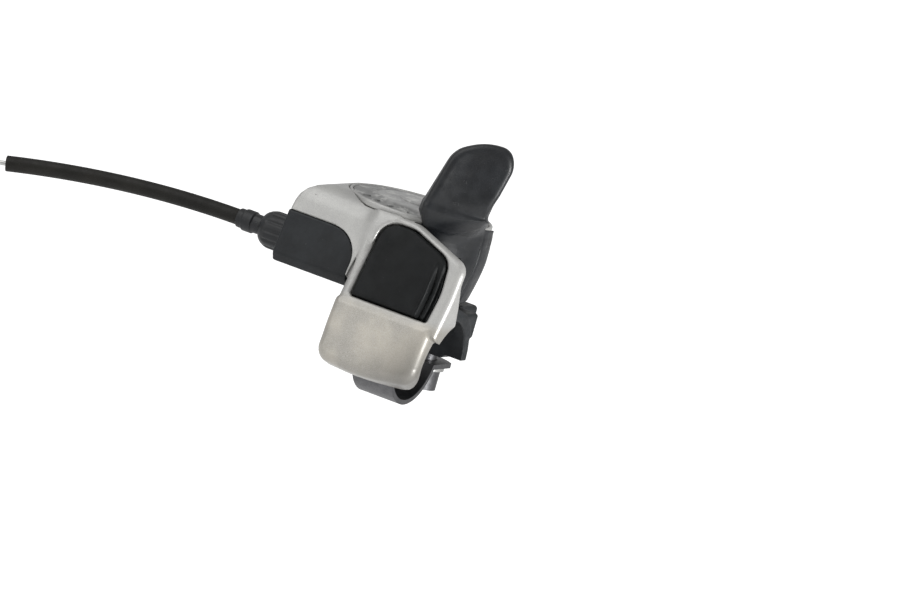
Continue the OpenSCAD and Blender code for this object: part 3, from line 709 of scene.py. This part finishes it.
def barrel_adjuster(x, y, z):
    """Domed, fluted head on a hollow threaded shank."""
    y, z = y - CABLE[1], z - CABLE[2]
    r, turn = np.hypot(y, z), np.arctan2(z, y)
    dome = 1.5 * ramp(x, HEAD_LEFT + 3.2, HEAD_LEFT) ** 2
    flute = 0.28 * (0.5 + 0.5 * np.cos(12 * turn)) ** 3 * ramp(x, HEAD_LEFT + 1.6, HEAD_LEFT + 2.8)
    head = rounded_max(r - 4.75 + dome + flute, between(x, HEAD_LEFT, HEAD_RIGHT), 0.7)
    thread = 0.44 * np.abs((x / THREAD_PITCH - turn / (2 * math.pi)) % 1 - 0.5)
    shank = np.maximum(r - SHANK_R + thread, between(x, HEAD_RIGHT - 1, -26.1))
    body = np.maximum(np.minimum(head, shank), WIRE_HOLE_R - r)
    return cut(body, np.maximum(r - 2.45, x + 38.2), 0.15)


def housing_ferrule(x, y, z):
    """Stepped sleeve that holds the end of the cable housing."""
    r = np.hypot(y - CABLE[1], z - CABLE[2])
    low = FERRULE_LOW[0]
    sleeve = rounded_max(r - 2.4, between(x, low, FERRULE_HIGH[0]), 0.25)
    collar = rounded_max(r - 2.74, between(x, low + 1.6, low + 4.4), 0.3)
    body = np.maximum(blend_min(sleeve, collar, 0.2), WIRE_HOLE_R - r)
    return cut(body, np.maximum(r - 2.04, x + 40.9), 0.1)


# ---------------------------------------------------------------- swept cable parts

# The stub is straight in the ferrule, then bends evenly towards the far corner of its CAD box
BEND_X = FERRULE_LOW[0] + 0.6
STUB_RUN = BEND_X - STUB_LOW[0]
STUB_BEND = STUB_LOW + HOUSING_R - CABLE
STUB_BEND[0] = 0
STUB_DROP = np.linalg.norm(STUB_BEND)
BEND_WAY = STUB_BEND / STUB_DROP
STUB_R = (STUB_RUN**2 + STUB_DROP**2) / (2 * STUB_DROP)
STUB_LENGTH = STUB_R * math.asin(STUB_RUN / STUB_R) - 1


def cable_point(s):
    """Centre of the cable s millimetres past the start of its bend, and the way it runs."""
    a = max(s, 0) / STUB_R
    straight = min(s, 0)
    reach, drop = STUB_R * math.sin(a) + straight, STUB_R * (1 - math.cos(a))
    centre = np.array([BEND_X - reach, CABLE[1], CABLE[2]]) + drop * BEND_WAY
    return centre, math.sin(a) * BEND_WAY - np.array([math.cos(a), 0, 0])


def swept_tube(name, stations, sides=40, lift=None):
    """Tube along the cable through (distance, radius); lift adds to a radius by its angle."""
    vertices, faces = [], []
    for s, r in stations:
        centre, run = cable_point(s)
        side = np.cross(run, BEND_WAY)
        side /= np.linalg.norm(side)
        up = np.cross(side, run)
        for k in range(sides):
            a = 2 * math.pi * k / sides
            reach = r + (lift(s, a) if lift else 0)
            vertices.append((centre + reach * (math.cos(a) * side + math.sin(a) * up)) / MM)
    for i in range(len(stations) - 1):
        for k in range(sides):
            n = (k + 1) % sides
            ring = i * sides
            faces.append((ring + k, ring + n, ring + sides + n, ring + sides + k))
    mesh = bpy.data.meshes.new(name)
    mesh.from_pydata([tuple(v) for v in vertices], [], faces)
    mesh.validate()
    mesh.update()
    mesh.shade_smooth()
    return link_object(name, mesh)


def line(start, end, steps):
    """Evenly spaced distances."""
    return [start + (end - start) * i / steps for i in range(steps + 1)]


def cable_housing():
    """Jacket with a cut end that shows its liner, and a bore that widens towards that end."""
    end = STUB_LENGTH
    outer = [(s, JACKET_R) for s in line(-9.5, end - 0.25, 60)]
    lip = [(end - 0.08, 1.93), (end, 1.8), (end, 1.62), (end - 0.1, 1.58)]
    liner = [(end - 0.1, 1.54), (end + 0.05, 1.5), (end + 0.05, 1.4)]
    inside = [(s, WIRE_HOLE_R + 0.3 * max(s, 0) / end) for s in line(end, -9.5, 30)]
    return swept_tube("cable_housing_skin", outer + lip + liner + inside + outer[:1])


def inner_cable():
    """Twisted strands, seen at the cut end."""

    def twist(s, a):
        return 0.05 * abs(math.cos(STRANDS / 2 * (a + 2 * math.pi * s / STRAND_LAY))) - 0.05

    tail = STUB_LENGTH + WIRE_TAIL
    stations = [(s, WIRE_R) for s in line(-9.0, tail, 420)]
    return swept_tube("inner_cable_strands", stations + [(tail, 0.3), (tail, 0.001)], 36, twist)


# ---------------------------------------------------------------- materials

COAT_ROUGHNESS = 0.25


class Paint:
    """Builds one procedural material, node by node."""

    def __init__(self, name):
        self.material = bpy.data.materials.new(name)
        self.material.use_nodes = True
        self.tree = self.material.node_tree
        self.shader = self.tree.nodes["Principled BSDF"]
        self.place = self.tree.nodes.new("ShaderNodeTexCoord").outputs["Object"]
        self.bumps = []

    def link(self, value, socket):
        """Connect an output, or set a plain value."""
        if isinstance(value, bpy.types.NodeSocket):
            self.tree.links.new(value, socket)
        elif isinstance(value, tuple) and len(value) == 3 and socket.type == "RGBA":
            socket.default_value = (*value, 1)
        else:
            socket.default_value = value

    def noise(self, scale, detail=4.0, rough=0.55, stretch=(1, 1, 1), seed=0.0):
        """Noise from 0 to 1, with about scale features in a millimetre."""
        mapping = self.tree.nodes.new("ShaderNodeMapping")
        self.link(self.place, mapping.inputs["Vector"])
        mapping.inputs["Scale"].default_value = [MM * s for s in stretch]
        mapping.inputs["Location"].default_value = (seed, seed * 1.7, seed * 0.6)
        node = self.tree.nodes.new("ShaderNodeTexNoise")
        self.link(mapping.outputs["Vector"], node.inputs["Vector"])
        node.inputs["Scale"].default_value = scale
        node.inputs["Detail"].default_value = detail
        node.inputs["Roughness"].default_value = rough
        return node.outputs["Fac"]

    def along(self, direction):
        """Position along a direction, in millimetres."""
        node = self.tree.nodes.new("ShaderNodeVectorMath")
        node.operation = "DOT_PRODUCT"
        self.link(self.place, node.inputs[0])
        node.inputs[1].default_value = [MM * d for d in direction]
        return node.outputs["Value"]

    def pivot_distance(self):
        """Distance from the lever's pivot, in millimetres."""
        flat = self.tree.nodes.new("ShaderNodeVectorMath")
        flat.operation = "MULTIPLY"
        self.link(self.place, flat.inputs[0])
        flat.inputs[1].default_value = (MM, MM, 0)
        node = self.tree.nodes.new("ShaderNodeVectorMath")
        node.operation = "DISTANCE"
        self.link(flat.outputs["Vector"], node.inputs[0])
        node.inputs[1].default_value = (PIVOT[0], PIVOT[1], 0)
        return node.outputs["Value"]

    def ramp(self, value, low, high, to=(0.0, 1.0)):
        """Map low..high to a range, smoothly and clamped."""
        node = self.tree.nodes.new("ShaderNodeMapRange")
        node.interpolation_type = "SMOOTHSTEP"
        self.link(value, node.inputs["Value"])
        node.inputs["From Min"].default_value = low
        node.inputs["From Max"].default_value = high
        node.inputs["To Min"].default_value = to[0]
        node.inputs["To Max"].default_value = to[1]
        return node.outputs["Result"]

    def math(self, operation, a, b=0.0):
        """One math node."""
        node = self.tree.nodes.new("ShaderNodeMath")
        node.operation = operation
        node.use_clamp = operation in ("MULTIPLY", "ADD")
        self.link(a, node.inputs[0])
        self.link(b, node.inputs[1])
        return node.outputs["Value"]

    def mix(self, factor, a, b):
        """Colour between a and b."""
        node = self.tree.nodes.new("ShaderNodeMix")
        node.data_type = "RGBA"
        self.link(factor, node.inputs["Factor"])
        self.link(a, node.inputs["A"])
        self.link(b, node.inputs["B"])
        return node.outputs["Result"]

    def edges(self, radius_mm):
        """1 on sharp edges and 0 on flat faces, by how far the normal turns within a radius."""
        node = self.tree.nodes.new("ShaderNodeBevel")
        node.samples = 4
        node.inputs["Radius"].default_value = radius_mm / MM
        plain = self.tree.nodes.new("ShaderNodeNewGeometry").outputs["Normal"]
        dot = self.tree.nodes.new("ShaderNodeVectorMath")
        dot.operation = "DOT_PRODUCT"
        self.link(node.outputs["Normal"], dot.inputs[0])
        self.link(plain, dot.inputs[1])
        turned = self.math("SUBTRACT", 1.0, dot.outputs["Value"])
        return self.ramp(turned, 0.02, 0.3)

    def crevice(self, distance_mm):
        """1 in corners and seams, 0 in the open."""
        node = self.tree.nodes.new("ShaderNodeAmbientOcclusion")
        node.samples = 6
        node.inputs["Distance"].default_value = distance_mm / MM
        return self.ramp(node.outputs["AO"], 0.75, 0.25)

    def bump(self, height, depth_mm):
        """Add a bump of a given depth."""
        self.bumps.append((height, depth_mm))

    def finish(self, colour, roughness, metallic=0.0, coat=0.0, specular=0.5):
        """Connect everything and return the material."""
        self.link(colour, self.shader.inputs["Base Color"])
        self.link(roughness, self.shader.inputs["Roughness"])
        self.link(metallic, self.shader.inputs["Metallic"])
        self.shader.inputs["Specular IOR Level"].default_value = specular
        self.shader.inputs["Coat Weight"].default_value = coat
        self.shader.inputs["Coat Roughness"].default_value = COAT_ROUGHNESS
        normal = None
        for height, depth in self.bumps:
            node = self.tree.nodes.new("ShaderNodeBump")
            node.inputs["Distance"].default_value = depth / MM
            self.link(height, node.inputs["Height"])
            if normal:
                self.link(normal, node.inputs["Normal"])
            normal = node.outputs["Normal"]
        if normal:
            self.link(normal, self.shader.inputs["Normal"])
        return self.material


def silver_paint():
    """Satin silver paint: cool above, warm on the shield, with painted shade towards its lower right
    corner and grime with painted shade in its crevices.
    """
    paint = Paint("silver_paint")
    flake = paint.noise(7, 2, 0.6)
    cloud = paint.ramp(paint.noise(0.12, 3, 0.5, seed=4), 0.35, 0.7)
    cool = paint.mix(cloud, (0.265, 0.265, 0.257), (0.305, 0.305, 0.293))
    warm = paint.mix(cloud, (0.25, 0.236, 0.205), (0.36, 0.332, 0.28))
    on_shield = paint.ramp(paint.along((0, 0, 1)), SHIELD_TOP_Z + 1.35, SHIELD_TOP_Z - 1.15)
    base = paint.mix(on_shield, cool, warm)
    speckle = paint.mix(paint.ramp(flake, 0.35, 0.68, (0, 0.35)), base, (0.56, 0.55, 0.53))
    pepper = paint.ramp(paint.noise(5, 2, 0.6, seed=17), 0.6, 0.72, (0, 0.35))
    speckle = paint.mix(pepper, speckle, (0.2, 0.195, 0.18))
    # Painted shade: the shield's paint darkens towards its lower right corner
    shade_to_corner = paint.ramp(paint.along((0.7, 0, -0.7)), -2, 13, (0, 0.85))
    corner = paint.math("MULTIPLY", on_shield, shade_to_corner)
    speckle = paint.mix(corner, speckle, (0.085, 0.082, 0.074))
    # Grime and painted shade: darker in the crevices, by ambient occlusion, in patches
    patchy = paint.ramp(paint.noise(0.8, 4), 0.25, 0.7, (0.2, 0.9))
    grime_and_shade = paint.math("MULTIPLY", paint.crevice(1.6), patchy)
    grimy_and_shaded = paint.mix(paint.math("MULTIPLY", grime_and_shade, 0.6), speckle, (0.1, 0.095, 0.08))
    scratch = paint.noise(0.9, 5, 0.7, stretch=(1, 0.12, 0.12), seed=7)
    scuff = paint.ramp(scratch, 0.66, 0.74, (0, 0.35))
    colour = paint.mix(scuff, grimy_and_shaded, (0.3, 0.3, 0.29))
    rough = paint.ramp(paint.noise(0.5, 5, 0.6, seed=2), 0.3, 0.75, (0.34, 0.46))
    paint.bump(flake, 0.012)
    paint.bump(paint.noise(1.2, 3, 0.5, seed=9), 0.02)
    return paint.finish(colour, rough, metallic=0.25, coat=0.5)


def black_plastic(name, tint, rough, grain_mm, shine, wear):
    """Moulded black plastic: fine grain, dust in the corners, edges rubbed lighter by wear."""
    paint = Paint(name)
    cloud = paint.ramp(paint.noise(0.18, 4, 0.6, seed=1), 0.3, 0.72)
    dark = tuple(0.72 * c for c in tint)
    body = paint.mix(cloud, dark, tuple(1.3 * c for c in tint))
    dust = paint.math("MULTIPLY", paint.crevice(1.2), paint.ramp(paint.noise(1.5, 5), 0.4, 0.75))
    dusty = paint.mix(paint.math("MULTIPLY", dust, 0.22), body, (0.16, 0.155, 0.14))
    uneven = paint.ramp(paint.noise(0.7, 5, 0.7, seed=5), 0.35, 0.65)
    rub = paint.math("MULTIPLY", paint.edges(0.5), uneven)
    rubbed = paint.mix(paint.math("MULTIPLY", rub, wear), dusty, (0.12, 0.125, 0.13))
    speck = paint.ramp(paint.noise(2.2, 2, 0.5, seed=12), 0.74, 0.78, (0, 0.25))
    colour = paint.mix(speck, rubbed, (0.1, 0.1, 0.1))
    sheen = paint.noise(0.35, 5, 0.65, seed=3)
    roughness = paint.ramp(sheen, 0.3, 0.72, (rough - 0.08, rough + 0.1))
    paint.bump(paint.noise(1 / grain_mm, 2, 0.5, seed=6), 0.1 * grain_mm)
    paint.bump(paint.noise(0.25, 3, 0.5, seed=8), 0.05)
    scratch = paint.noise(0.6, 6, 0.75, stretch=(0.08, 1, 1), seed=15)
    paint.bump(paint.ramp(scratch, 0.62, 0.66), 0.012)
    return paint.finish(colour, roughness, specular=shine)


def dial_plastic():
    """Grey plastic worn by weather: darker on the outer track, with pale rubbed patches and pits."""
    paint = Paint("dial_plastic")
    cloud = paint.ramp(paint.noise(0.35, 6, 0.65, seed=3), 0.3, 0.7)
    on_disc = paint.ramp(paint.pivot_distance(), DISC_R + 1.2, DISC_R - 0.4)
    track = paint.mix(cloud, (0.12, 0.12, 0.118), (0.26, 0.26, 0.255))
    disc = paint.mix(cloud, (0.25, 0.25, 0.247), (0.36, 0.36, 0.355))
    base = paint.mix(on_disc, track, disc)
    patch = paint.ramp(paint.noise(0.28, 5, 0.7, seed=21), 0.52, 0.6)
    worn = paint.mix(paint.math("MULTIPLY", patch, 0.55), base, (0.52, 0.52, 0.5))
    pit = paint.ramp(paint.noise(1.9, 5, 0.7, seed=14), 0.6, 0.7, (0, 0.6))
    colour = paint.mix(pit, worn, (0.1, 0.1, 0.1))
    paint.bump(paint.noise(1.6, 6, 0.7, seed=14), 0.09)
    paint.bump(paint.noise(9, 2, 0.5), 0.012)
    return paint.finish(colour, paint.ramp(cloud, 0, 1, (0.42, 0.6)))


def bare_metal(name, tint, rough, stretch):
    """Turned, pressed or drawn metal: fine tool marks, tarnish, and grime with painted shade in the
    corners.
    """
    paint = Paint(name)
    lines = paint.noise(3, 3, 0.6, stretch, seed=2)
    tarnish = paint.ramp(paint.noise(0.5, 5, 0.65, seed=11), 0.35, 0.75)
    base = paint.mix(tarnish, tint, tuple(0.72 * c for c in tint))
    # Grime and painted shade: darker in the corners, by ambient occlusion
    grime_and_shade = paint.math("MULTIPLY", paint.crevice(0.8), 0.4)
    colour = paint.mix(grime_and_shade, base, (0.05, 0.045, 0.04))
    roughness = paint.ramp(lines, 0.3, 0.7, (rough - 0.06, rough + 0.12))
    paint.bump(lines, 0.01)
    return paint.finish(colour, roughness, metallic=1.0)


def nylon():
    """Off-white nylon with faint flow marks, and grey grease with painted shade in its corners."""
    paint = Paint("nylon")
    flow = paint.ramp(paint.noise(0.25, 4, 0.6, stretch=(1, 1, 2)), 0.3, 0.7)
    base = paint.mix(flow, (0.66, 0.63, 0.54), (0.76, 0.74, 0.67))
    # Grease and painted shade: greyer in the crevices, by ambient occlusion, in patches
    grease_and_shade = paint.math("MULTIPLY", paint.crevice(1.0), paint.ramp(paint.noise(0.9, 4), 0.3, 0.7))
    colour = paint.mix(paint.math("MULTIPLY", grease_and_shade, 0.6), base, (0.16, 0.15, 0.13))
    paint.bump(paint.noise(3, 2), 0.01)
    return paint.finish(colour, paint.ramp(flow, 0, 1, (0.36, 0.5)))


# Plastics: tint, roughness, grain in millimetres, shine and wear
PLASTICS = {
    "housing_plastic": ((0.0095, 0.011, 0.0125), 0.46, 0.25, 0.25, 0.25),
    "pad_plastic": ((0.005, 0.0057, 0.006), 0.5, 0.12, 0.16, 0.5),
    "lever_plastic": ((0.0075, 0.0085, 0.01), 0.4, 0.2, 0.35, 0.15),
    "cable_jacket": ((0.008, 0.0075, 0.006), 0.5, 0.4, 0.2, 0.05),
}
# Metals: tint, roughness and how the tool marks are stretched
METALS = {
    "steel": ((0.56, 0.56, 0.55), 0.3, (1, 1, 1)),
    "dark_steel": ((0.13, 0.13, 0.135), 0.4, (1, 1, 1)),
    "spring_steel": ((0.4, 0.4, 0.41), 0.28, (0.3, 1, 1)),
    "brass": ((0.62, 0.45, 0.2), 0.3, (1, 1, 1)),
}
MATERIALS = {"silver_paint": silver_paint(), "dial_plastic": dial_plastic(), "nylon": nylon()}
MATERIALS.update({name: black_plastic(name, *look) for name, look in PLASTICS.items()})
MATERIALS.update({name: bare_metal(name, *look) for name, look in METALS.items()})

# ---------------------------------------------------------------- pieces

SLOTS = {part["node"]: part["material_slot"] for part in frame["record"]["subparts"]}
BODIES = frame["record"]["behaviour"]["bodies"]
BODY_OF = {node: body for body, nodes in BODIES.items() for node in nodes}
COARSE = 1.0
SHELL_MARGIN = 0.5
BEVEL = 0.08
BEVEL_FROM = math.radians(40)

# Shape and mesh step, in millimetres, of each modelled shell
SHELLS = {
    "base_housing": (base_housing, 0.36),
    "front_cover": (front_cover, 0.3),
    "front_pad": (front_pad, 0.2),
    "top_cap": (top_cap, 0.26),
    "dial_plate": (dial_plate, 0.22),
    "dial_cap": (dial_cap, 0.18),
    "thumb_lever": (thumb_lever, 0.28),
    "barrel_adjuster": (barrel_adjuster, 0.16),
    "housing_ferrule": (housing_ferrule, 0.14),
}


def dress(obj, node):
    """Give an object the body, slot and material of the CAD node it stands for."""
    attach(obj, BODY_OF[node])
    if obj is not frame["nodes"][node]:
        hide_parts(node)
    obj.data.materials.clear()
    obj.data.materials.append(MATERIALS[SLOTS[node]])


for node, (shape, step) in SHELLS.items():
    low, high = box_mm(node)
    low, high = low - SHELL_MARGIN, high + SHELL_MARGIN
    dress(mesh_of(node + "_shell", shape, low, high, step * COARSE), node)

dress(cable_housing(), "cable_housing")
dress(inner_cable(), "inner_cable")

# Every other piece is its CAD node
for node, obj in frame["nodes"].items():
    if not obj.hide_render:
        dress(obj, node)
        bevel = obj.modifiers.new("edge", "BEVEL")
        bevel.width = BEVEL / MM
        bevel.segments = 2
        bevel.limit_method = "ANGLE"
        bevel.angle_limit = BEVEL_FROM
        bevel.harden_normals = False

# ---------------------------------------------------------------- studio

# Camera: angles in radians, distance and the field's width at the part in metres, sensor in millimetres
AZIMUTH = math.radians(24)
ELEVATION = math.radians(10)
ROLL = math.radians(16)
DISTANCE = 2.0
FIELD_WIDTH = 0.217
SENSOR = 36
SHIFT = (0.0578, 0.0544)

# Floor and sky
FLOOR_DROP = 0.25
FLOOR_REACH = 14
FLOOR_GLOW = 0.6
SKY_GLOW = 0.55

# Lights: name, place and size in metres, power in watts
AIM = Vector((-0.01, 0, 0.02))
LIGHTS = (
    ("key", (-0.6, -0.7, 1.3), (1.6, 1.6), 11.0),
    ("right", (0.8, -0.17, 0.1), (0.13, 0.26), 7.5),
    ("fill", (-1.2, -1.4, 0.4), (1.5, 1.5), 6.0),
)


def studio_camera():
    """Long lens a little to the right of the face, rolled so that the pivot leans to the right."""
    level = math.cos(ELEVATION)
    back = Vector((math.sin(AZIMUTH) * level, -math.cos(AZIMUTH) * level, math.sin(ELEVATION)))
    data = bpy.data.cameras.new("camera")
    camera = link_object("camera", data)
    camera.rotation_mode = "QUATERNION"
    turn = Matrix.Rotation(-ROLL, 4, -back).to_quaternion()
    camera.location = back * DISTANCE
    camera.rotation_quaternion = turn @ (-back).to_track_quat("-Z", "Y")
    data.sensor_width = SENSOR
    data.lens = SENSOR * DISTANCE / FIELD_WIDTH
    data.shift_x, data.shift_y = SHIFT
    bpy.context.scene.camera = camera


def area_light(name, place, size, power):
    """Soft oval light aimed at the part."""
    data = bpy.data.lights.new(name, "AREA")
    data.shape = "ELLIPSE"
    data.size, data.size_y = size
    data.energy = power
    light = link_object(name, data)
    light.location = place
    light.rotation_mode = "QUATERNION"
    light.rotation_quaternion = (AIM - Vector(place)).to_track_quat("-Z", "Y")


def floor():
    """Wide flat pale floor well below the part, which glows a little where the camera sees it."""
    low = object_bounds()[0].z - FLOOR_DROP
    mesh = bpy.data.meshes.new("floor")
    signs = ((-1, -1), (1, -1), (1, 1), (-1, 1))
    corners = [(a * FLOOR_REACH, b * FLOOR_REACH, low) for a, b in signs]
    mesh.from_pydata(corners, [], [(0, 1, 2, 3)])
    paint = Paint("floor")
    cloud = paint.ramp(paint.noise(0.004, 2), 0.3, 0.7)
    tone = paint.mix(cloud, (0.93, 0.93, 0.93), (0.95, 0.95, 0.95))
    paint.shader.inputs["Emission Color"].default_value = (1, 1, 1, 1)
    seen = paint.tree.nodes.new("ShaderNodeLightPath").outputs["Is Camera Ray"]
    paint.link(paint.math("MULTIPLY", seen, FLOOR_GLOW), paint.shader.inputs["Emission Strength"])
    mesh.materials.append(paint.finish(tone, 0.9))
    link_object("floor", mesh)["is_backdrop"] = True


def world():
    """Even pale sky."""
    sky = bpy.data.worlds.new("sky")
    sky.use_nodes = True
    background = sky.node_tree.nodes["Background"]
    background.inputs["Color"].default_value = (1, 1, 1, 1)
    background.inputs["Strength"].default_value = SKY_GLOW
    bpy.context.scene.world = sky


studio_camera()
floor()
world()
for light in LIGHTS:
    area_light(*light)
bpy.context.scene.view_settings.view_transform = "Standard"
